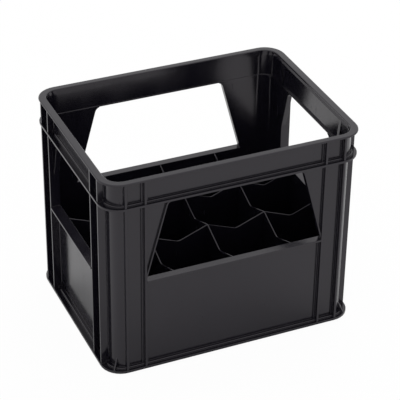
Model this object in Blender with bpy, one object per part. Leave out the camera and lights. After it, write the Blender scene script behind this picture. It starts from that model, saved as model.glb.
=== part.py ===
"""A twelve-cell bottle crate, moulded in plastic, built from its regions with fine seams between them."""

import itertools
import math

import bmesh
import bpy
from mathutils import Matrix, Vector

# Outside box
LENGTH = 0.400
WIDTH = 0.300
HEIGHT = 0.328
CORNER_RADIUS = 0.032
SEAM_GAP = 0.0003

# Wall skins, measured in from the outer edge of the rim
LONG_SKIN_INSET = 0.0062
SHORT_SKIN_INSET = 0.0135
LONG_UPPER_WIDTH = 0.0110
LONG_LOWER_WIDTH = 0.0120
SHORT_WALL_WIDTH = 0.0160
SHORT_LEDGE = 0.0004
SKIN_OUTER_RADIUS = 0.024
RIM_INNER_RADIUS = 0.023
SKIN_INNER_RADIUS = 0.021
PANEL_RECESS = 0.0024
PANEL_BORDER = 0.0032

# Rim, grip flange, sill and bottom ring
LONG_RIM_WIDTH = 0.0104
SHORT_RIM_WIDTH = 0.0114
RIM_THICKNESS = 0.0026
RIM_NOSE_ROUND = 0.0018
RIM_INNER_ROUND = 0.0008
NECK_HEIGHT = 0.0090
NECK_THICKNESS = 0.0026
HANDLE_DEPTH = 0.0430
GRIP_THICKNESS = 0.0034
ROOT_HEIGHT = 0.0024
LONG_ROOT_INSET = 0.0054
SHORT_ROOT_INSET = 0.0080
SILL_HEIGHT = 0.160
SILL_THICKNESS = 0.0030
RING_THICKNESS = 0.0040

# Upright ribs
RIB_WIDTH = 0.0032
RIB_INSET = 0.0010
RIB_ROOT = 0.0020
LONG_RIB_FROM_CORNER = 0.0315
SHORT_RIB_FROM_CORNER = 0.0327
RIB_PITCH = 0.029
GUSSET_WIDTH = 0.0022
GUSSET_HEIGHT = 0.018
GUSSET_DEPTH = 0.0090
GUSSET_TURN_SHARE = 0.45

# Handle windows
WINDOW_SLOPE_SHARE = 0.273
WINDOW_ROUND = 0.010
SHORT_WINDOW_SHOULDER = 0.055
LIP_WIDTH = 0.0024
LONG_LIP_INSET = 0.0030
SHORT_LIP_INSET = 0.0080
CUSP_LENGTH = 0.0030

# Floor and foot
FOOT_HEIGHT = 0.0030
FOOT_INSET = 0.0135
FOOT_RADIUS = 0.019
FOOT_BAND = 0.0080
FLOOR_THICKNESS = 0.0023
FLOOR_INSET = 0.0090
FLOOR_RADIUS = 0.023
FLOOR_RIB = 0.0040
POCKET_ROUND = 0.006
DRAIN_SIZE = 0.020
DRAIN_PITCH = 0.034
DRAIN_ROUND = 0.004

# Divider grid
COLUMN_PITCH = 0.093
ROW_HALF_PITCH = 0.047
DIVIDER_THICKNESS = 0.0018
DIP_DEPTH = 0.018
DIP_ROUND = 0.010

# Facets of each rounding
CORNER_STEPS = 8
SMALL_STEPS = 4
NOSE_STEPS = 3
POCKET_STEPS = 2
SMOOTH_ANGLE = math.radians(30)
CUT_MARGIN = 0.004
MERGE_DISTANCE = 0.00001

# Finish
BLACK = (0.018, 0.018, 0.019, 1.0)
ROUGHNESS = 0.36

COLLECTION = "bottle_crate"
CUTTER_COLLECTION = "bottle_crate_cutters"

FLOOR_TOP = FOOT_HEIGHT + FLOOR_THICKNESS
RING_LOW = FLOOR_TOP + SEAM_GAP
RING_HIGH = RING_LOW + RING_THICKNESS
RING_ROOT_HIGH = RING_HIGH + ROOT_HEIGHT
GRIP_LOW = HEIGHT - HANDLE_DEPTH
GRIP_HIGH = GRIP_LOW + GRIP_THICKNESS
GRIP_ROOT_HIGH = GRIP_HIGH + ROOT_HEIGHT
LEDGE_HEIGHT = GRIP_LOW + GRIP_THICKNESS / 2
SILL_LOW = SILL_HEIGHT - SILL_THICKNESS
RIM_LOW = HEIGHT - RIM_THICKNESS
NECK_LOW = RIM_LOW - NECK_HEIGHT
CHEEK_HIGH = GRIP_LOW - SEAM_GAP
HALF = {"front": WIDTH / 2, "back": WIDTH / 2, "left": LENGTH / 2, "right": LENGTH / 2}
ACROSS = {"front": LENGTH / 2, "back": LENGTH / 2, "left": WIDTH / 2, "right": WIDTH / 2}
SIDES = ("front", "back", "left", "right")
LONG_SIDES = ("front", "back")


def clear_scene():
    for obj in list(bpy.data.objects):
        bpy.data.objects.remove(obj, do_unlink=True)


def make_collections():
    made = []
    for name in (COLLECTION, CUTTER_COLLECTION):
        collection = bpy.data.collections.new(name)
        bpy.context.scene.collection.children.link(collection)
        made.append(collection)
    made[1].hide_render = True
    return made


def plastic(name):
    material = bpy.data.materials.new(name)
    material.use_nodes = True
    shader = material.node_tree.nodes["Principled BSDF"]
    shader.inputs["Base Color"].default_value = BLACK
    shader.inputs["Roughness"].default_value = ROUGHNESS
    return material


def place(side, along, inset, height):
    """A point given by its place along a wall, its depth in from the rim's outer edge and its height."""
    out = HALF[side] - inset
    if side == "front":
        return Vector((along, -out, height))
    if side == "back":
        return Vector((along, out, height))
    if side == "left":
        return Vector((-out, along, height))
    return Vector((out, along, height))


def mesh_object(name, form, collection):
    bmesh.ops.recalc_face_normals(form, faces=form.faces)
    mesh = bpy.data.meshes.new(name)
    form.to_mesh(mesh)
    form.free()
    obj = bpy.data.objects.new(name, mesh)
    collection.objects.link(obj)
    return obj


def extrude_outline(form, outline, travel):
    """Adds the solid that a flat outline sweeps along one straight line."""
    face = form.faces.new([form.verts.new(point) for point in outline])
    swept = bmesh.ops.extrude_face_region(form, geom=[face], use_keep_orig=True)
    moved = [item for item in swept["geom"] if isinstance(item, bmesh.types.BMVert)]
    bmesh.ops.translate(form, verts=moved, vec=travel)


def add_block(form, corner_a, corner_b):
    """Adds the box between two opposite corners."""
    middle = (corner_a + corner_b) / 2
    spans = [abs(a - b) for a, b in zip(corner_a, corner_b)]
    bmesh.ops.create_cube(form, size=1, matrix=Matrix.LocRotScale(middle, None, spans))


def loft(form, rows, closed):
    """Joins rows of points, each to the next, by strips of faces."""
    made = [[form.verts.new(point) for point in row] for row in rows]
    for low, high in zip(made[:-1], made[1:]):
        for step in range(len(low) if closed else len(low) - 1):
            after = (step + 1) % len(low)
            form.faces.new((low[step], low[after], high[after], high[step]))
    return made


def arc(centre, radius, start, end, steps):
    """Points of an arc in plan, angles in quarter turns."""
    points = []
    for step in range(steps + 1):
        angle = (start + (end - start) * step / steps) * math.pi / 2
        points.append(Vector((centre[0] + radius * math.cos(angle), centre[1] + radius * math.sin(angle))))
    return points


def rounded_rectangle(half_x, half_y, radius, steps, centre=(0, 0)):
    points = []
    for turn, (sign_x, sign_y) in enumerate(((1, 1), (-1, 1), (-1, -1), (1, -1))):
        middle = (centre[0] + sign_x * (half_x - radius), centre[1] + sign_y * (half_y - radius))
        points += arc(middle, radius, turn, turn + 1, steps)
    return points


def add_prism(form, outline, low, high):
    """Adds an upright prism over an outline in plan."""
    base = [Vector((point.x, point.y, low)) for point in outline]
    extrude_outline(form, base, Vector((0, 0, high - low)))


def apply_boolean(target, tool, operation):
    """Joins or cuts the target with the tool for good, then drops the tool."""
    modifier = target.modifiers.new("join", "BOOLEAN")
    modifier.operation = operation
    modifier.solver = "EXACT"
    modifier.object = tool
    graph = bpy.context.evaluated_depsgraph_get()
    result = bpy.data.meshes.new_from_object(target.evaluated_get(graph))
    target.modifiers.remove(modifier)
    old = target.data
    target.data = result
    bpy.data.meshes.remove(old)
    bpy.data.objects.remove(tool, do_unlink=True)


def live_cut(target, cutter):
    """Cuts the target with a cutter that stays in the file as a guide."""
    modifier = target.modifiers.new(cutter.name, "BOOLEAN")
    modifier.operation = "DIFFERENCE"
    modifier.solver = "EXACT"
    modifier.object = cutter
    cutter.hide_render = True
    cutter.display_type = "WIRE"


def seam_along(side):
    """Where the corner posts end and the walls begin, as a distance from the middle of the wall."""
    from_corner = LONG_RIB_FROM_CORNER if side in LONG_SIDES else SHORT_RIB_FROM_CORNER
    return ACROSS[side] - from_corner - RIB_PITCH - RIB_WIDTH / 2


def rim_nose():
    """The rim's rounded outer edge, as points of inset and height."""
    turn = arc((RIM_NOSE_ROUND, HEIGHT - RIM_NOSE_ROUND), RIM_NOSE_ROUND, 2, 1, NOSE_STEPS)
    return [(point.x, point.y) for point in turn]


# Walls of one straight run

def run_profile(name, side, profile, collection):
    """A straight length of wall between the two corner posts, from a profile of insets and heights."""
    reach = seam_along(side) - SEAM_GAP
    form = bmesh.new()
    outline = [place(side, -reach, inset, height) for inset, height in profile]
    extrude_outline(form, outline, place(side, reach, 0, 0) - place(side, -reach, 0, 0))
    return mesh_object(name, form, collection)


def panel_cutter(name, side, along_low, along_high, low, high, cutters):
    """A shallow block that sinks a panel into a long wall, with a border left round it."""
    form = bmesh.new()
    near = place(side, along_low, LONG_SKIN_INSET - CUT_MARGIN, low)
    far = place(side, along_high, LONG_SKIN_INSET + PANEL_RECESS, high)
    add_block(form, near, far)
    return mesh_object(name, form, cutters)


def make_lower_wall(side, collection, cutters):
    long = side in LONG_SIDES
    skin = LONG_SKIN_INSET if long else SHORT_SKIN_INSET
    inner = LONG_LOWER_WIDTH if long else SHORT_WALL_WIDTH
    root = LONG_ROOT_INSET if long else SHORT_ROOT_INSET
    profile = (
        (0, RING_LOW),
        (0, RING_HIGH),
        (root, RING_HIGH),
        (root, RING_ROOT_HIGH),
        (skin, RING_ROOT_HIGH),
        (skin, SILL_LOW),
        (0, SILL_LOW),
        (0, SILL_HEIGHT),
        (inner, SILL_HEIGHT),
        (inner, RING_LOW),
    )
    wall = run_profile("lower_wall_" + side, side, profile, collection)
    if long:
        reach = seam_along(side) - SEAM_GAP - PANEL_BORDER
        high = SILL_LOW - PANEL_BORDER
        cutter = panel_cutter("cut_lower_panel_" + side, side, -reach, reach, RING_ROOT_HIGH, high, cutters)
        live_cut(wall, cutter)
    return wall


def inner_widths(long):
    """How far in the inner faces of the rim, of the wall over the grip flange and of the wall under it lie."""
    if long:
        return LONG_RIM_WIDTH, LONG_UPPER_WIDTH, LONG_LOWER_WIDTH
    return SHORT_RIM_WIDTH, SHORT_WALL_WIDTH - SHORT_LEDGE, SHORT_WALL_WIDTH


def neck_inset(long):
    """Where the wall's outer face meets the underside of the rim."""
    if long:
        return min(LONG_SKIN_INSET, LONG_RIM_WIDTH - NECK_THICKNESS)
    return min(SHORT_SKIN_INSET, SHORT_RIM_WIDTH - NECK_THICKNESS)


def make_handle_beam(side, collection, cutters):
    long = side in LONG_SIDES
    rim, upper, lower = inner_widths(long)
    skin = LONG_SKIN_INSET if long else SHORT_SKIN_INSET
    root = LONG_ROOT_INSET if long else SHORT_ROOT_INSET
    profile = [
        (0, GRIP_LOW),
        (0, GRIP_HIGH),
        (root, GRIP_HIGH),
        (root, GRIP_ROOT_HIGH),
        (skin, GRIP_ROOT_HIGH),
        (skin, NECK_LOW),
        (neck_inset(long), RIM_LOW),
        (0, RIM_LOW),
        *rim_nose(),
        (rim - RIM_INNER_ROUND, HEIGHT),
        (rim, HEIGHT - RIM_INNER_ROUND),
        (rim, RIM_LOW),
        (upper, NECK_LOW),
        (upper, LEDGE_HEIGHT),
        (lower, LEDGE_HEIGHT),
        (lower, GRIP_LOW),
    ]
    beam = run_profile("handle_beam_" + side, side, profile, collection)
    if long:
        reach = seam_along(side) - SEAM_GAP - PANEL_BORDER
        cutter = panel_cutter("cut_beam_panel_" + side, side, -reach, reach, GRIP_ROOT_HIGH, RIM_LOW, cutters)
        live_cut(beam, cutter)
    return beam


# Corner posts

def corner_sweep(form, sign_x, sign_y, profile):
    """Adds the post's body: each level of the profile turns the corner on its own insets and radius."""
    rows = []
    for inset_x, inset_y, radius, height in profile + profile[:1]:
        edge_x = LENGTH / 2 - inset_x
        edge_y = WIDTH / 2 - inset_y
        turn = arc((edge_x - radius, edge_y - radius), radius, 1, 0, CORNER_STEPS)
        plan = [Vector((seam_along("front"), edge_y))] + turn + [Vector((edge_x, seam_along("left")))]
        rows.append([Vector((sign_x * point.x, sign_y * point.y, height)) for point in plan])
    made = loft(form, rows, False)
    bmesh.ops.remove_doubles(form, verts=made[0] + made[-1], dist=MERGE_DISTANCE)
    bmesh.ops.holes_fill(form, edges=form.edges)


def post_profile():
    """The post's section at each level: insets on the short and the long side, corner radius and height."""
    short_rim, short_upper, short_lower = inner_widths(False)
    long_rim, long_upper, long_lower = inner_widths(True)
    ring = (0, 0, CORNER_RADIUS)
    skin = (SHORT_SKIN_INSET, LONG_SKIN_INSET, SKIN_OUTER_RADIUS)
    root = (SHORT_ROOT_INSET, LONG_ROOT_INSET, SKIN_OUTER_RADIUS)
    neck = (neck_inset(False), neck_inset(True), SKIN_OUTER_RADIUS)
    rim = (short_rim, long_rim, RIM_INNER_RADIUS)
    rim_flat = (short_rim - RIM_INNER_ROUND, long_rim - RIM_INNER_ROUND, RIM_INNER_RADIUS)
    upper = (short_upper, long_upper, SKIN_INNER_RADIUS)
    lower = (short_lower, long_lower, SKIN_INNER_RADIUS)
    nose = [((inset, inset, CORNER_RADIUS - inset), height) for inset, height in rim_nose()]
    levels = [
        (ring, RING_LOW),
        (ring, RING_HIGH),
        (root, RING_HIGH),
        (root, RING_ROOT_HIGH),
        (skin, RING_ROOT_HIGH),
        (skin, GRIP_LOW),
        (ring, GRIP_LOW),
        (ring, GRIP_HIGH),
        (root, GRIP_HIGH),
        (root, GRIP_ROOT_HIGH),
        (skin, GRIP_ROOT_HIGH),
        (skin, NECK_LOW),
        (neck, RIM_LOW),
        (ring, RIM_LOW),
        *nose,
        (rim_flat, HEIGHT),
        (rim, HEIGHT - RIM_INNER_ROUND),
        (rim, RIM_LOW),
        (upper, NECK_LOW),
        (upper, LEDGE_HEIGHT),
        (lower, LEDGE_HEIGHT),
        (lower, RING_LOW),
    ]
    return [shape + (height,) for shape, height in levels]


def window_edge(side):
    """A handle window's slanted edge and the start of its rounded top, as points along and up."""
    foot = seam_along(side)
    shoulder = SILL_HEIGHT if side in LONG_SIDES else SILL_HEIGHT + SHORT_WINDOW_SHOULDER
    lean = math.atan(WINDOW_SLOPE_SHARE)
    top = foot - WINDOW_SLOPE_SHARE * (CHEEK_HIGH - shoulder)
    tangent = WINDOW_ROUND * math.tan((math.pi / 2 - lean) / 2)
    middle = Vector((top - tangent, CHEEK_HIGH - WINDOW_ROUND))
    last = math.acos(CUSP_LENGTH / WINDOW_ROUND)
    edge = [Vector((foot, shoulder))]
    for step in range(SMALL_STEPS + 1):
        angle = lean + (last - lean) * step / SMALL_STEPS
        edge.append(middle + WINDOW_ROUND * Vector((math.cos(angle), math.sin(angle))))
    return edge


def lip_outline(edge):
    """A band along the window's edge, kept under the grip flange."""
    band = []
    for index, point in enumerate(edge):
        run = (edge[min(len(edge) - 1, index + 1)] - edge[max(0, index - 1)]).normalized()
        moved = point + LIP_WIDTH * Vector((run.y, -run.x))
        band.append(Vector((moved.x, min(moved.y, CHEEK_HIGH))))
    return edge + band[::-1]


def add_wall_plate(form, side, sign, outline, inset_low, inset_high):
    """Adds a flat plate in a wall's own plane, on one half of that wall."""
    base = [place(side, sign * along, inset_low, height) for along, height in outline]
    travel = place(side, 0, inset_high, 0) - place(side, 0, inset_low, 0)
    extrude_outline(form, base, travel)


def join_plate(post, side, sign, outline, inset_low, inset_high, cutters):
    form = bmesh.new()
    add_wall_plate(form, side, sign, outline, inset_low, inset_high)
    apply_boolean(post, mesh_object("plate", form, cutters), "UNION")


def join_rib(post, side, sign, start, cutters):
    """Adds an upright rib, whose root follows the wall's face and the neck under the rim."""
    long = side in LONG_SIDES
    skin = LONG_SKIN_INSET if long else SHORT_SKIN_INSET
    # The rib passes through the grip flange and ends inside the rim and the bottom ring
    low = RING_LOW + RING_THICKNESS / 2
    high = RIM_LOW + RIM_THICKNESS / 2
    profile = (
        (RIB_INSET, low),
        (skin + RIB_ROOT, low),
        (skin + RIB_ROOT, NECK_LOW),
        (neck_inset(long) + RIB_ROOT, RIM_LOW),
        (neck_inset(long) + RIB_ROOT, high),
        (RIB_INSET, high),
    )
    form = bmesh.new()
    base = [place(side, sign * start, inset, height) for inset, height in profile]
    travel = place(side, sign * (start + RIB_WIDTH), 0, 0) - place(side, sign * start, 0, 0)
    extrude_outline(form, base, travel)
    apply_boolean(post, mesh_object("rib", form, cutters), "UNION")


def add_post_side(post, side, sign, cutters):
    """Adds to a post, on one of its two walls, the two ribs and the cheek and lip beside the window."""
    long = side in LONG_SIDES
    skin = LONG_SKIN_INSET if long else SHORT_SKIN_INSET
    lip = LONG_LIP_INSET if long else SHORT_LIP_INSET
    inner = LONG_LOWER_WIDTH if long else SHORT_WALL_WIDTH
    seam = seam_along(side)
    for start in (seam, seam + RIB_PITCH):
        join_rib(post, side, sign, start, cutters)
    edge = window_edge(side)
    behind = seam + RIB_ROOT
    rest = ((edge[-1].x, CHEEK_HIGH), (behind, CHEEK_HIGH), (behind, edge[0].y))
    cheek = edge + [Vector(point) for point in rest]
    join_plate(post, side, sign, cheek, skin, inner, cutters)
    join_plate(post, side, sign, lip_outline(edge), lip, skin + RIB_ROOT, cutters)


def add_gusset(post, sign_x, sign_y, cutters):
    """Adds the small triangular web that braces the bottom ring under the rounded corner."""
    centre = Vector((
        LENGTH / 2 - SHORT_SKIN_INSET - SKIN_OUTER_RADIUS,
        WIDTH / 2 - LONG_SKIN_INSET - SKIN_OUTER_RADIUS,
    ))
    turn = GUSSET_TURN_SHARE * math.pi / 2
    outwards = Vector((math.cos(turn), math.sin(turn)))
    aside = Vector((math.sin(turn), -math.cos(turn))) * GUSSET_WIDTH
    low = RING_LOW + RING_THICKNESS / 2
    high = RING_HIGH + GUSSET_HEIGHT
    profile = (
        (-RIB_ROOT, low),
        (GUSSET_DEPTH, low),
        (GUSSET_DEPTH, RING_HIGH),
        (0, high),
        (-RIB_ROOT, high),
    )
    base = []
    for depth, height in profile:
        point = centre + outwards * (SKIN_OUTER_RADIUS + depth) - aside / 2
        base.append(Vector((sign_x * point.x, sign_y * point.y, height)))
    form = bmesh.new()
    extrude_outline(form, base, Vector((sign_x * aside.x, sign_y * aside.y, 0)))
    apply_boolean(post, mesh_object("gusset", form, cutters), "UNION")


def make_post(side_x, side_y, collection, cutters):
    sign_x = 1 if side_x == "right" else -1
    sign_y = 1 if side_y == "back" else -1
    name = f"corner_post_{side_y}_{side_x}"
    form = bmesh.new()
    corner_sweep(form, sign_x, sign_y, post_profile())
    post = mesh_object(name, form, collection)
    add_post_side(post, side_y, sign_x, cutters)
    add_post_side(post, side_x, sign_y, cutters)
    add_gusset(post, sign_x, sign_y, cutters)
    # Sunk panels between the two ribs of the long wall, under and over the grip flange
    near = sign_x * (seam_along(side_y) + RIB_WIDTH + PANEL_BORDER)
    far = sign_x * (seam_along(side_y) + RIB_PITCH - PANEL_BORDER)
    under = (RING_ROOT_HIGH, GRIP_LOW - PANEL_BORDER)
    over = (GRIP_ROOT_HIGH, RIM_LOW)
    for level, (low, high) in (("under", under), ("over", over)):
        live_cut(post, panel_cutter(f"cut_{level}_{name}", side_y, near, far, low, high, cutters))
    return post


# Divider grid

def dipped_top(start, end, middles):
    """The top line of a divider: level peaks at the crossings, with a rounded dip half way between them."""
    points = []
    for low, high in zip(middles[:-1], middles[1:]):
        bottom = (low + high) / 2
        half = (high - low) / 2
        lean = math.atan2(DIP_DEPTH, half)
        depth = SILL_HEIGHT - DIP_DEPTH
        centre = depth + DIP_ROUND / math.cos(lean)
        points.append((max(low, start), SILL_HEIGHT))
        for step in range(SMALL_STEPS + 1):
            angle = -lean + 2 * lean * step / SMALL_STEPS
            points.append((bottom + DIP_ROUND * math.sin(angle), centre - DIP_ROUND * math.cos(angle)))
    points.append((end, SILL_HEIGHT))
    points[0] = (start, SILL_HEIGHT)
    return points


def make_divider(name, axis, offset, start, end, peaks, collection):
    top = dipped_top(start, end, peaks)
    low = FLOOR_TOP + SEAM_GAP
    outline = [(start, low)] + top + [(end, low)]
    half = DIVIDER_THICKNESS / 2
    form = bmesh.new()
    if axis == "x":
        base = [Vector((along, offset - half, height)) for along, height in outline]
        extrude_outline(form, base, Vector((0, DIVIDER_THICKNESS, 0)))
    else:
        base = [Vector((offset - half, along, height)) for along, height in outline]
        extrude_outline(form, base, Vector((DIVIDER_THICKNESS, 0, 0)))
    return mesh_object(name, form, collection)


def make_dividers(collection):
    made = []
    wall_x = LENGTH / 2 - SHORT_WALL_WIDTH
    wall_y = WIDTH / 2 - LONG_LOWER_WIDTH
    columns = {"left": -COLUMN_PITCH, "middle": 0, "right": COLUMN_PITCH}
    peaks = [-wall_x, -COLUMN_PITCH, 0, COLUMN_PITCH, wall_x]
    for row, offset in (("front", -ROW_HALF_PITCH), ("back", ROW_HALF_PITCH)):
        reach = wall_x - SEAM_GAP
        made.append(make_divider("divider_long_" + row, "x", offset, -reach, reach, peaks, collection))
    clear = DIVIDER_THICKNESS / 2 + SEAM_GAP
    lengths = {
        "front": (-wall_y, -ROW_HALF_PITCH, SEAM_GAP - wall_y, -ROW_HALF_PITCH - clear),
        "centre": (-ROW_HALF_PITCH, ROW_HALF_PITCH, clear - ROW_HALF_PITCH, ROW_HALF_PITCH - clear),
        "back": (ROW_HALF_PITCH, wall_y, ROW_HALF_PITCH + clear, wall_y - SEAM_GAP),
    }
    for column, offset in columns.items():
        for row, (low_peak, high_peak, start, end) in lengths.items():
            name = f"divider_cross_{column}_{row}"
            made.append(make_divider(name, "y", offset, start, end, [low_peak, high_peak], collection))
    return made


# Floor

def clear_spans(band, lines):
    """The stretches left between the foot's band at both ends and the ribs on the given lines."""
    lows = [-band] + [line + FLOOR_RIB / 2 for line in lines]
    highs = [line - FLOOR_RIB / 2 for line in lines] + [band]
    return list(zip(lows, highs))


def make_floor(collection, cutters):
    form = bmesh.new()
    foot = rounded_rectangle(LENGTH / 2 - FOOT_INSET, WIDTH / 2 - FOOT_INSET, FOOT_RADIUS, CORNER_STEPS)
    plate = rounded_rectangle(LENGTH / 2 - FLOOR_INSET, WIDTH / 2 - FLOOR_INSET, FLOOR_RADIUS, CORNER_STEPS)
    levels = ((foot, 0), (foot, FOOT_HEIGHT), (plate, FOOT_HEIGHT), (plate, FLOOR_TOP))
    loft(form, [[Vector((point.x, point.y, height)) for point in plan] for plan, height in levels], True)
    bmesh.ops.holes_fill(form, edges=form.edges)
    floor = mesh_object("base_floor", form, collection)
    pockets = bmesh.new()
    drains = bmesh.new()
    columns = clear_spans(LENGTH / 2 - FOOT_INSET - FOOT_BAND, (-COLUMN_PITCH, 0, COLUMN_PITCH))
    rows = clear_spans(WIDTH / 2 - FOOT_INSET - FOOT_BAND, (-ROW_HALF_PITCH, ROW_HALF_PITCH))
    for (low_x, high_x), (low_y, high_y) in itertools.product(columns, rows):
        middle = ((low_x + high_x) / 2, (low_y + high_y) / 2)
        spans = ((high_x - low_x) / 2, (high_y - low_y) / 2)
        plan = rounded_rectangle(*spans, POCKET_ROUND, POCKET_STEPS, middle)
        add_prism(pockets, plan, -CUT_MARGIN, FOOT_HEIGHT)
        for sign_x, sign_y in itertools.product((-1, 1), repeat=2):
            spot = (middle[0] + sign_x * DRAIN_PITCH / 2, middle[1] + sign_y * DRAIN_PITCH / 2)
            plan = rounded_rectangle(DRAIN_SIZE / 2, DRAIN_SIZE / 2, DRAIN_ROUND, POCKET_STEPS, spot)
            add_prism(drains, plan, FOOT_HEIGHT - CUT_MARGIN / 2, FLOOR_TOP + CUT_MARGIN)
    live_cut(floor, mesh_object("cut_floor_pockets", pockets, cutters))
    live_cut(floor, mesh_object("cut_floor_drains", drains, cutters))
    return floor


def main():
    clear_scene()
    collection, cutters = make_collections()
    parts = [make_floor(collection, cutters)]
    for side_y in LONG_SIDES:
        for side_x in ("left", "right"):
            parts.append(make_post(side_x, side_y, collection, cutters))
    for side in SIDES:
        parts.append(make_lower_wall(side, collection, cutters))
        parts.append(make_handle_beam(side, collection, cutters))
    parts += make_dividers(collection)
    for part in parts:
        part.data.materials.clear()
        part.data.materials.append(plastic(part.name + "_plastic"))
        part.data.shade_smooth()
        part.data.set_sharp_from_angle(angle=SMOOTH_ANGLE)


main()
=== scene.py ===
"""The bottle crate's finish: rounded moulded edges, closed seams and black plastic, in a pale studio.

Lengths are in metres.
"""

import math

import bmesh
import bpy
from mathutils import Matrix, Vector


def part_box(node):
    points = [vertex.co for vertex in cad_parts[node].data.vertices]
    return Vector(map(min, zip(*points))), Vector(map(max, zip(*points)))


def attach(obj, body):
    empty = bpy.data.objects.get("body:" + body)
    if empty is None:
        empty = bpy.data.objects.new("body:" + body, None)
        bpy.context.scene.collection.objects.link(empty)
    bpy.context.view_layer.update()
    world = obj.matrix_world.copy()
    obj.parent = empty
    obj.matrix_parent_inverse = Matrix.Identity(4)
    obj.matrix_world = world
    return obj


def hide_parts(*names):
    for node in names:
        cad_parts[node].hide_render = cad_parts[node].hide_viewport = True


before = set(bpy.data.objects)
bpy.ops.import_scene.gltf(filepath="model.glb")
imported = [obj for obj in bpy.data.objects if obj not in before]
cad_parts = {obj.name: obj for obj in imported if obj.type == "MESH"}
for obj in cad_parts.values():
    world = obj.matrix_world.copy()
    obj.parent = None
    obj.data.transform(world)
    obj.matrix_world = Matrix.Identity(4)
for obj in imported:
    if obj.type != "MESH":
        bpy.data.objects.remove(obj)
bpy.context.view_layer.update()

# Camera, fitted to the rim, the grip flange and the bottom ring in the photograph
CAMERA_AZIMUTH = math.radians(-23.970)
CAMERA_ELEVATION = math.radians(32.4225)
CAMERA_ROLL = 0.0142083
CAMERA_DISTANCE = 2.617237
CAMERA_ASIDE = -0.00943
CAMERA_DROP = -0.146741
CAMERA_LIFT = 0.0012
CAMERA_LENS_MM = 151.03
SENSOR_MM = 36.0

# Outline of the rim, the grip flange and the bottom ring
HIGH_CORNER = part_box("corner_post_back_right")[1]
HALF_LENGTH = HIGH_CORNER.x
HALF_WIDTH = HIGH_CORNER.y
CORNER_RADIUS = 0.032

# Outlines inside the rim, each as its inset along x, its inset along y and its corner radius:
# the root ledge, and the outer and the inner face of the walls over the grip flange
ROOT_OUTLINE = (0.0080, 0.0054, 0.024)
SKIN_OUTLINE = (0.0135, 0.0062, 0.024)
INNER_OUTLINE = (0.0156, 0.0110, 0.021)

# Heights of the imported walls: the tops of the root ledges over the grip flange and the bottom ring,
# the foot of the neck under the rim, and the ledge inside the grip flange
GRIP_ROOT_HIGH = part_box("handle_beam_front")[0].z + 0.0058
RING_ROOT_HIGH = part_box("lower_wall_front")[0].z + 0.0064
ROOT_HEIGHT = 0.0024
NECK_LOW = HIGH_CORNER.z - 0.0116
LEDGE_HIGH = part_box("handle_beam_front")[0].z + 0.0017

# How far the root ledges and the short walls are brought from there to their photographed place
ROOT_OUT = 0.0008
ROOT_UP = 0.0005
SKIN_OUT = 0.0030
INNER_OUT = 0.0024
INNER_UP = 0.0056

# Upright guides inside the short walls, near the middle of the front and the back row of cells
GUIDE_PLACE = 0.0950
GUIDE_WIDTH = 0.0064
GUIDE_ROOT_INSET = 0.0120
GUIDE_TIP_INSET = 0.0132
GUIDE_FRONT_INSET = 0.0164
GUIDE_TIP = HIGH_CORNER.z - 0.0052
GUIDE_FOOT = LEDGE_HIGH + 0.0026

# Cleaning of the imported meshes
MERGE_DISTANCE = 0.00002
CRUMB_DISTANCE = 0.00016
FLAT_ANGLE = math.radians(0.5)

# Seams between the regions of the moulding, which are closed here, and the planes at which the
# closed moulding is then divided into pieces, just beside the seams
SEAM_GAP = 0.0003
SEAM_REACH = 0.00025
SEAM_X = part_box("lower_wall_front")[1].x + SEAM_GAP / 2
SEAM_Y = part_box("lower_wall_right")[1].y + SEAM_GAP / 2
GRIP_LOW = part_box("handle_beam_front")[0].z
SILL_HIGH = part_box("lower_wall_front")[1].z
CUT_X = SEAM_X - 0.0016
CUT_Y = SEAM_Y - 0.0016
CUT_LOW = SILL_HIGH + 0.0020
CUT_HIGH = GRIP_LOW - 0.0020
WALL_REACH = 0.022

# How far the dividers' ends and the floor's top run into the walls
SUNK_END = 0.0008
SUNK_FLOOR = 0.00035

# Roundings of the moulded edges, and what tells the edges apart
SHARP_ANGLE = math.radians(20)
CUT_ANGLE = math.radians(60)
PLAIN_ROUND = 0.0004
DIVIDER_ROUND = 0.0008
FLANGE_ROUND = 0.0005
RIB_FRONT_INSET = 0.0010
RIB_FOOT_ROUND = 0.00015
GUIDE_ROUND = 0.00015
ROOT_ROUND = 0.0013
WALL_FILLET = 0.0012
WIDEST_ROUND = ROOT_ROUND
LEVEL_REACH = 0.0001
OUTLINE_REACH = 0.0002
SHORT_WALL_PLACE = 0.180
SHORT_RISE = 0.020
ROOM_SHARE = 0.45
ROUND_SEGMENTS = 3

SHELL_NODES = sorted(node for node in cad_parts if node.startswith(("corner", "handle", "lower")))


# Meshes

def merged(node):
    """A copy of a CAD node's mesh with its corners merged and its flat faces joined."""
    form = bmesh.new()
    form.from_mesh(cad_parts[node].data)
    bmesh.ops.remove_doubles(form, verts=form.verts, dist=MERGE_DISTANCE)
    join_flat_faces(form)
    return form


def join_flat_faces(form):
    bmesh.ops.dissolve_limit(form, angle_limit=FLAT_ANGLE, verts=form.verts, edges=form.edges)


def add_object(name, form):
    mesh = bpy.data.meshes.new(name)
    form.to_mesh(mesh)
    form.free()
    obj = bpy.data.objects.new(name, mesh)
    bpy.context.scene.collection.objects.link(obj)
    return obj


def drop_object(obj):
    mesh = obj.data
    bpy.data.objects.remove(obj, do_unlink=True)
    bpy.data.meshes.remove(mesh)


def applied(obj):
    """The mesh that an object's modifiers make."""
    graph = bpy.context.evaluated_depsgraph_get()
    return bpy.data.meshes.new_from_object(obj.evaluated_get(graph))


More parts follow.
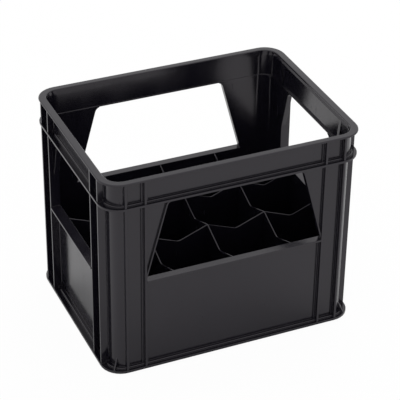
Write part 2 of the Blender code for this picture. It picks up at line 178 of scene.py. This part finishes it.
def joined(objects):
    """The bmesh left when several objects are joined into one solid."""
    group = bpy.data.collections.new("others")
    bpy.context.scene.collection.children.link(group)
    for obj in objects[1:]:
        group.objects.link(obj)
    modifier = objects[0].modifiers.new("join", "BOOLEAN")
    modifier.operation = "UNION"
    modifier.solver = "EXACT"
    modifier.operand_type = "COLLECTION"
    modifier.collection = group
    mesh = applied(objects[0])
    bpy.data.collections.remove(group)
    form = bmesh.new()
    form.from_mesh(mesh)
    bpy.data.meshes.remove(mesh)
    return form


def close_seams(form):
    """Moves the ends of a region onto the planes that it shares with its neighbours."""
    for vert in form.verts:
        for axis, place in ((0, SEAM_X), (1, SEAM_Y)):
            if abs(abs(vert.co[axis]) - place) < SEAM_REACH:
                vert.co[axis] = math.copysign(place, vert.co[axis])
        if abs(vert.co.z - (GRIP_LOW - SEAM_GAP)) < MERGE_DISTANCE:
            vert.co.z = GRIP_LOW
    bmesh.ops.remove_doubles(form, verts=form.verts, dist=MERGE_DISTANCE)


def depth_inside(point):
    """How far a point lies inside the rounded outline of the rim, in plan."""
    beyond_x = max(0, abs(point.x) - (HALF_LENGTH - CORNER_RADIUS))
    beyond_y = max(0, abs(point.y) - (HALF_WIDTH - CORNER_RADIUS))
    return CORNER_RADIUS - math.hypot(beyond_x, beyond_y)


def facing(point, outline):
    """How far a rounded outline faces along x and along y at a point on it. Both are 0 off it."""
    inset_x, inset_y, radius = outline
    beyond_x = max(0, abs(point.x) - (HALF_LENGTH - inset_x - radius))
    beyond_y = max(0, abs(point.y) - (HALF_WIDTH - inset_y - radius))
    if abs(math.hypot(beyond_x, beyond_y) - radius) > OUTLINE_REACH:
        return 0, 0
    return beyond_x / radius, beyond_y / radius


def deepen_root(form):
    """Brings the root ledges of the long walls out and up, so that their top edge can be rounder."""
    for vert in form.verts:
        along_y = facing(vert.co, ROOT_OUTLINE)[1]
        for high in (GRIP_ROOT_HIGH, RING_ROOT_HIGH):
            at_top = abs(vert.co.z - high) < LEVEL_REACH
            at_foot = abs(vert.co.z - (high - ROOT_HEIGHT)) < LEVEL_REACH
            if at_top or at_foot:
                vert.co.y += math.copysign(ROOT_OUT * along_y, vert.co.y)
            if at_top:
                vert.co.z += ROOT_UP


def straighten_short_walls(form):
    """Brings the short walls over the grip flange out, so that they rise straight to the rim."""
    for vert in form.verts:
        at_neck = abs(vert.co.z - NECK_LOW) < LEVEL_REACH
        if at_neck or abs(vert.co.z - GRIP_ROOT_HIGH) < LEVEL_REACH:
            outside = facing(vert.co, SKIN_OUTLINE)[0]
        else:
            outside = 0
        if at_neck or abs(vert.co.z - LEDGE_HIGH) < LEVEL_REACH:
            inside = facing(vert.co, INNER_OUTLINE)[0]
        else:
            inside = 0
        vert.co.x += math.copysign(SKIN_OUT * outside + INNER_OUT * inside, vert.co.x)
        if at_neck:
            vert.co.z += INNER_UP * inside


def make_guide(side, end):
    """A thin upright guide on the inner face of a short wall, which deepens from the rim down."""
    inset = (GUIDE_ROOT_INSET + GUIDE_FRONT_INSET) / 2
    middle = Vector((side * (HALF_LENGTH - inset), end * GUIDE_PLACE, (GUIDE_TIP + GUIDE_FOOT) / 2))
    size = (GUIDE_FRONT_INSET - GUIDE_ROOT_INSET, GUIDE_WIDTH, GUIDE_TIP - GUIDE_FOOT)
    form = bmesh.new()
    bmesh.ops.create_cube(form, size=1, matrix=Matrix.LocRotScale(middle, None, size))
    for vert in form.verts:
        if vert.co.z > middle.z and abs(vert.co.x) < abs(middle.x):
            vert.co.x = side * (HALF_LENGTH - GUIDE_TIP_INSET)
    return add_object("guide", form)


def on_guide(point):
    """Whether a point lies on one of the guides."""
    in_width = abs(abs(point.y) - GUIDE_PLACE) < GUIDE_WIDTH / 2 + LEVEL_REACH
    in_depth = GUIDE_ROOT_INSET < HALF_LENGTH - abs(point.x) < GUIDE_FRONT_INSET + LEVEL_REACH
    return in_width and in_depth and point.z > GUIDE_FOOT - LEVEL_REACH


def at_level(edge, *heights):
    return any(all(abs(vert.co.z - height) < LEVEL_REACH for vert in edge.verts) for height in heights)


def wall_round(edge):
    """The rounding that the mould gives to an edge of the walls."""
    depths = [depth_inside(vert.co) for vert in edge.verts]
    if all(depth < MERGE_DISTANCE for depth in depths):
        return FLANGE_ROUND
    if not edge.is_convex and all(abs(depth - RIB_FRONT_INSET) < LEVEL_REACH for depth in depths):
        return RIB_FOOT_ROUND
    if all(on_guide(vert.co) for vert in edge.verts):
        return GUIDE_ROUND
    if edge.is_convex and at_level(edge, GRIP_ROOT_HIGH + ROOT_UP, RING_ROOT_HIGH + ROOT_UP):
        return ROOT_ROUND
    middle = (edge.verts[0].co + edge.verts[1].co) / 2
    rise = abs(edge.verts[0].co.z - edge.verts[1].co.z)
    on_short_wall = abs(middle.x) > SHORT_WALL_PLACE and abs(middle.y) < HALF_WIDTH - CORNER_RADIUS
    if on_short_wall and not edge.is_convex and rise > SHORT_RISE:
        return WALL_FILLET
    return PLAIN_ROUND


def set_rounds(form, width_of):
    """Notes the rounding of every sharp edge, less wide where the next edges are short."""
    weight = form.edges.layers.float.new("bevel_weight_edge")
    for edge in form.edges:
        if edge.calc_face_angle(0) < SHARP_ANGLE:
            continue
        others = {other for vert in edge.verts for other in vert.link_edges if other is not edge}
        near = min(other.calc_length() for other in others)
        room = max(ROOM_SHARE * near, near - PLAIN_ROUND)
        edge[weight] = min(width_of(edge), room) / WIDEST_ROUND


def rounded(form):
    """The same form with its sharp edges rounded as noted."""
    obj = add_object("sharp", form)
    modifier = obj.modifiers.new("round", "BEVEL")
    modifier.width = WIDEST_ROUND
    modifier.limit_method = "WEIGHT"
    modifier.offset_type = "OFFSET"
    modifier.segments = ROUND_SEGMENTS
    modifier.profile = 0.5
    modifier.use_clamp_overlap = False
    mesh = applied(obj)
    drop_object(obj)
    result = bmesh.new()
    result.from_mesh(mesh)
    bpy.data.meshes.remove(mesh)
    return result


def bisect(form, axis, place, faces):
    """Adds the edges where a plane across an axis meets the given faces."""
    faces = list(faces)
    parts = {part for face in faces for part in (*face.verts, *face.edges)}
    normal = Vector((0, 0, 0))
    normal[axis] = 1
    bmesh.ops.bisect_plane(
        form, geom=faces + list(parts), plane_co=normal * place, plane_no=normal, dist=MERGE_DISTANCE
    )


def region_of(point):
    """The CAD node whose region of the moulding a point belongs to."""
    if abs(point.x) < CUT_X and abs(point.y) > HALF_WIDTH - WALL_REACH:
        side = "back" if point.y > 0 else "front"
    elif abs(point.y) < CUT_Y and abs(point.x) > HALF_LENGTH - WALL_REACH:
        side = "right" if point.x > 0 else "left"
    else:
        side = None
    if side and point.z < CUT_LOW:
        return "lower_wall_" + side
    if side and point.z > CUT_HIGH:
        return "handle_beam_" + side
    return "corner_post_" + ("back_" if point.y > 0 else "front_") + ("right" if point.x > 0 else "left")


def near_plane(vert, axis, place):
    return abs(abs(vert.co[axis]) - place) < MERGE_DISTANCE


def close_cuts(form):
    """Closes a region where it was cut off its neighbours: across the wall, and under the beam."""
    for axis, place in ((0, CUT_X), (1, CUT_Y)):
        ends = [
            vert for vert in form.verts
            if vert.is_boundary and near_plane(vert, axis, place) and near_plane(vert, 2, CUT_HIGH)
        ]
        while ends:
            first = ends.pop()
            second = min(ends, key=lambda vert: (vert.co - first.co).length)
            ends.remove(second)
            form.edges.new((first, second))
    for axis, place in ((0, CUT_X), (1, CUT_Y), (2, CUT_HIGH)):
        for side in (-1, 1):
            border = [
                edge for edge in form.edges
                if len(edge.link_faces) < 2
                and all(abs(vert.co[axis] - side * place) < MERGE_DISTANCE for vert in edge.verts)
            ]
            if border:
                bmesh.ops.triangle_fill(form, edges=border, use_beauty=False, use_dissolve=True)
    bmesh.ops.recalc_face_normals(form, faces=form.faces)


def cut_region(form, node):
    """The closed region of the moulding that stands for one CAD node."""
    region = form.copy()
    others = [face for face in region.faces if region_of(face.calc_center_median()) != node]
    bmesh.ops.delete(region, geom=others, context="FACES")
    close_cuts(region)
    return region


def finish_piece(node, form, material):
    """Turns a finished form into the piece that stands for a CAD node."""
    for face in form.faces:
        face.smooth = True
    for edge in form.edges:
        edge.smooth = edge.calc_face_angle(0) < CUT_ANGLE
    piece = add_object("moulded_" + node, form)
    piece.data.materials.clear()
    piece.data.materials.append(material)
    weighted = piece.modifiers.new("weighted_normals", "WEIGHTED_NORMAL")
    weighted.keep_sharp = True
    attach(piece, "root")
    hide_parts(node)


# Materials

# The plastic. Each noise is given as its scale, its detail and its stretch along the axes.
PLASTIC_IOR = 1.52
REFLECTION_TINT = (1.0, 0.95, 1.0, 1)
DARK_FLOW = (0.0050, 0.0044, 0.0078, 1)
LIGHT_FLOW = (0.0072, 0.0066, 0.0105, 1)
FLOW_NOISE = (30, 3, (1, 1, 0.25))
RIPPLE_NOISE = (45, 1, (1, 1, 1))
GRAIN_NOISE = (1400, 2, (1, 1, 1))
SCUFF_NOISE = (260, 4, (1, 1, 0.12))
SCUFF_SPREAD = (0.60, 0.74)
FLOW_SPREAD = (0.3, 0.7)
FLOW_ROUGHNESS = (0.13, 0.20)
SCUFF_ROUGHNESS = 0.30
RIPPLE_HEIGHT = 0.00006
GRAIN_HEIGHT = 0.0000012


def link(tree, source, target):
    tree.links.new(source, target)


def noise(tree, place, scale, detail, stretch):
    """A noise on object coordinates, in features per metre, stretched along the axes."""
    mapping = tree.nodes.new("ShaderNodeMapping")
    mapping.inputs["Scale"].default_value = stretch
    link(tree, place.outputs["Object"], mapping.inputs["Vector"])
    texture = tree.nodes.new("ShaderNodeTexNoise")
    texture.inputs["Scale"].default_value = scale
    texture.inputs["Detail"].default_value = detail
    link(tree, mapping.outputs["Vector"], texture.inputs["Vector"])
    return texture.outputs["Fac"]


def levels(tree, value, from_low, from_high, to_low, to_high):
    node = tree.nodes.new("ShaderNodeMapRange")
    node.inputs["From Min"].default_value = from_low
    node.inputs["From Max"].default_value = from_high
    node.inputs["To Min"].default_value = to_low
    node.inputs["To Max"].default_value = to_high
    link(tree, value, node.inputs["Value"])
    return node.outputs["Result"]


def maximum(tree, first, second):
    node = tree.nodes.new("ShaderNodeMath")
    node.operation = "MAXIMUM"
    link(tree, first, node.inputs[0])
    link(tree, second, node.inputs[1])
    return node.outputs[0]


def bump(tree, height, distance, before=None):
    node = tree.nodes.new("ShaderNodeBump")
    node.inputs["Strength"].default_value = 1.0
    node.inputs["Distance"].default_value = distance
    link(tree, height, node.inputs["Height"])
    if before is not None:
        link(tree, before, node.inputs["Normal"])
    return node.outputs["Normal"]


def moulded_plastic():
    """Glossy black plastic with a slow ripple, a fine grain, flow marks and faint scuffs."""
    material = bpy.data.materials.new("moulded_black_plastic")
    material.use_nodes = True
    tree = material.node_tree
    shader = tree.nodes["Principled BSDF"]
    shader.inputs["IOR"].default_value = PLASTIC_IOR
    shader.inputs["Specular Tint"].default_value = REFLECTION_TINT
    place = tree.nodes.new("ShaderNodeTexCoord")

    flow = noise(tree, place, *FLOW_NOISE)
    ripple = noise(tree, place, *RIPPLE_NOISE)
    grain = noise(tree, place, *GRAIN_NOISE)
    scuffs = levels(tree, noise(tree, place, *SCUFF_NOISE), *SCUFF_SPREAD, 0, 1)

    mix = tree.nodes.new("ShaderNodeMix")
    mix.data_type = "RGBA"
    mix.inputs["A"].default_value = DARK_FLOW
    mix.inputs["B"].default_value = LIGHT_FLOW
    link(tree, flow, mix.inputs["Factor"])
    link(tree, mix.outputs["Result"], shader.inputs["Base Color"])

    smooth = levels(tree, flow, *FLOW_SPREAD, *FLOW_ROUGHNESS)
    worn = levels(tree, scuffs, 0, 1, 0, SCUFF_ROUGHNESS)
    link(tree, maximum(tree, smooth, worn), shader.inputs["Roughness"])

    normal = bump(tree, ripple, RIPPLE_HEIGHT)
    normal = bump(tree, grain, GRAIN_HEIGHT, normal)
    link(tree, normal, shader.inputs["Normal"])
    return material


# Pieces

def make_moulding():
    """All walls, posts and beams as one closed form, with the rounding of each edge noted."""
    regions = []
    for node in SHELL_NODES:
        form = merged(node)
        close_seams(form)
        regions.append(add_object("region_" + node, form))
    form = joined(regions)
    for region in regions:
        drop_object(region)
    bmesh.ops.remove_doubles(form, verts=form.verts, dist=CRUMB_DISTANCE)
    join_flat_faces(form)
    straighten_short_walls(form)
    deepen_root(form)
    guides = [make_guide(side, end) for side in (-1, 1) for end in (-1, 1)]
    body = add_object("body", form)
    form = joined([body] + guides)
    for obj in [body] + guides:
        drop_object(obj)
    bmesh.ops.remove_doubles(form, verts=form.verts, dist=CRUMB_DISTANCE)
    join_flat_faces(form)
    set_rounds(form, wall_round)
    return form


def dress_shell(plastic):
    """Divides the moulding into a rounded piece for each post, wall and beam."""
    form = make_moulding()
    for axis, place in ((0, CUT_X), (1, CUT_Y)):
        bisect(form, axis, place, form.faces)
        bisect(form, axis, -place, form.faces)
    middles = [(face, face.calc_center_median()) for face in form.faces]
    bisect(form, 2, CUT_HIGH, [face for face, at in middles if abs(at.x) < CUT_X or abs(at.y) < CUT_Y])
    for node in SHELL_NODES:
        finish_piece(node, rounded(cut_region(form, node)), plastic)
    form.free()


def dress_dividers(plastic):
    """Rounds the dividers and lets their ends run into what they are moulded to."""
    for node in sorted(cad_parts):
        if not node.startswith("divider"):
            continue
        form = merged(node)
        low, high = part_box(node)
        axis = 0 if node.startswith("divider_long") else 1
        for vert in form.verts:
            if abs(vert.co[axis] - low[axis]) < MERGE_DISTANCE:
                vert.co[axis] -= SUNK_END
            if abs(vert.co[axis] - high[axis]) < MERGE_DISTANCE:
                vert.co[axis] += SUNK_END
            if abs(vert.co.z - low.z) < MERGE_DISTANCE:
                vert.co.z -= SUNK_END
        set_rounds(form, lambda edge: DIVIDER_ROUND)
        finish_piece(node, rounded(form), plastic)


def dress_floor(plastic):
    """Rounds the floor plate and lets its top run into the walls."""
    form = merged("base_floor")
    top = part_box("base_floor")[1].z
    for vert in form.verts:
        if abs(vert.co.z - top) < MERGE_DISTANCE:
            vert.co.z += SUNK_FLOOR
    set_rounds(form, lambda edge: PLAIN_ROUND)
    finish_piece("base_floor", rounded(form), plastic)


# Stage

# The white and the gloss share are how far the ground looks plain white to the camera and in the gloss.
# The sky's level is its strength as a light, and the lamp's power is in watts.
GROUND_RADIUS = 6
GROUND_SEGMENTS = 96
GROUND_COLOUR = (0.97, 0.97, 0.97, 1)
GROUND_WHITE_SHARE = 0.97
GROUND_GLOSS_SHARE = 0.05
SKY_LEVEL = 0.75
KEY_PLACE = Vector((1.2, 1.3, 2.2))
KEY_SIZE = 1.6
KEY_POWER = 20


def make_ground():
    """A pale floor that shows white to the camera, less a share that keeps the crate's shadow."""
    form = bmesh.new()
    bmesh.ops.create_circle(form, cap_ends=True, segments=GROUND_SEGMENTS, radius=GROUND_RADIUS)
    ground = add_object("ground", form)
    material = bpy.data.materials.new("pale_ground")
    material.use_nodes = True
    tree = material.node_tree
    tree.nodes.clear()
    output = tree.nodes.new("ShaderNodeOutputMaterial")
    matt = tree.nodes.new("ShaderNodeBsdfDiffuse")
    matt.inputs["Color"].default_value = GROUND_COLOUR
    glow = tree.nodes.new("ShaderNodeEmission")
    rays = tree.nodes.new("ShaderNodeLightPath")
    camera = levels(tree, rays.outputs["Is Camera Ray"], 0, 1, 0, GROUND_WHITE_SHARE)
    reflected = maximum(tree, rays.outputs["Is Glossy Ray"], rays.outputs["Is Transmission Ray"])
    gloss = levels(tree, reflected, 0, 1, 0, GROUND_GLOSS_SHARE)
    mix = tree.nodes.new("ShaderNodeMixShader")
    link(tree, maximum(tree, camera, gloss), mix.inputs["Fac"])
    link(tree, matt.outputs[0], mix.inputs[1])
    link(tree, glow.outputs[0], mix.inputs[2])
    link(tree, mix.outputs[0], output.inputs["Surface"])
    ground.data.materials.append(material)


def make_sky():
    """A plain sky that lights the crate softly and shows white to the camera and in its gloss."""
    world = bpy.data.worlds.new("studio")
    bpy.context.scene.world = world
    world.use_nodes = True
    tree = world.node_tree
    sky = tree.nodes["Background"]
    sky.inputs["Color"].default_value = (1, 1, 1, 1)
    rays = tree.nodes.new("ShaderNodeLightPath")
    reflected = maximum(tree, rays.outputs["Is Glossy Ray"], rays.outputs["Is Transmission Ray"])
    seen = maximum(tree, rays.outputs["Is Camera Ray"], reflected)
    link(tree, levels(tree, seen, 0, 1, SKY_LEVEL, 1), sky.inputs["Strength"])


def make_key():
    """A large, weak lamp high behind the crate, which leaves soft shade on the ground before it."""
    data = bpy.data.lights.new("key_softbox", "AREA")
    data.shape = "SQUARE"
    data.size = KEY_SIZE
    data.energy = KEY_POWER
    key = bpy.data.objects.new("key_softbox", data)
    key.visible_glossy = False
    bpy.context.scene.collection.objects.link(key)
    turn = (-KEY_PLACE).to_track_quat("-Z", "Y")
    key.matrix_world = Matrix.Translation(KEY_PLACE) @ turn.to_matrix().to_4x4()


def make_camera():
    back = Vector((
        math.sin(CAMERA_AZIMUTH) * math.cos(CAMERA_ELEVATION),
        -math.cos(CAMERA_AZIMUTH) * math.cos(CAMERA_ELEVATION),
        math.sin(CAMERA_ELEVATION),
    ))
    right = Vector((math.cos(CAMERA_AZIMUTH), math.sin(CAMERA_AZIMUTH), 0))
    turn = Matrix((right, back.cross(right), back)).transposed() @ Matrix.Rotation(CAMERA_ROLL, 3, "Z")
    data = bpy.data.cameras.new("photo_camera")
    data.lens = CAMERA_LENS_MM
    data.sensor_width = SENSOR_MM
    camera = bpy.data.objects.new("photo_camera", data)
    bpy.context.scene.collection.objects.link(camera)
    place = turn @ Vector((-CAMERA_ASIDE, -CAMERA_DROP, CAMERA_DISTANCE))
    camera.matrix_world = Matrix.Translation(place + Vector((0, 0, CAMERA_LIFT))) @ turn.to_4x4()
    bpy.context.scene.camera = camera


make_camera()
make_sky()
make_key()
make_ground()
plastic = moulded_plastic()
dress_shell(plastic)
dress_dividers(plastic)
dress_floor(plastic)
bpy.context.scene.view_settings.view_transform = "Standard"
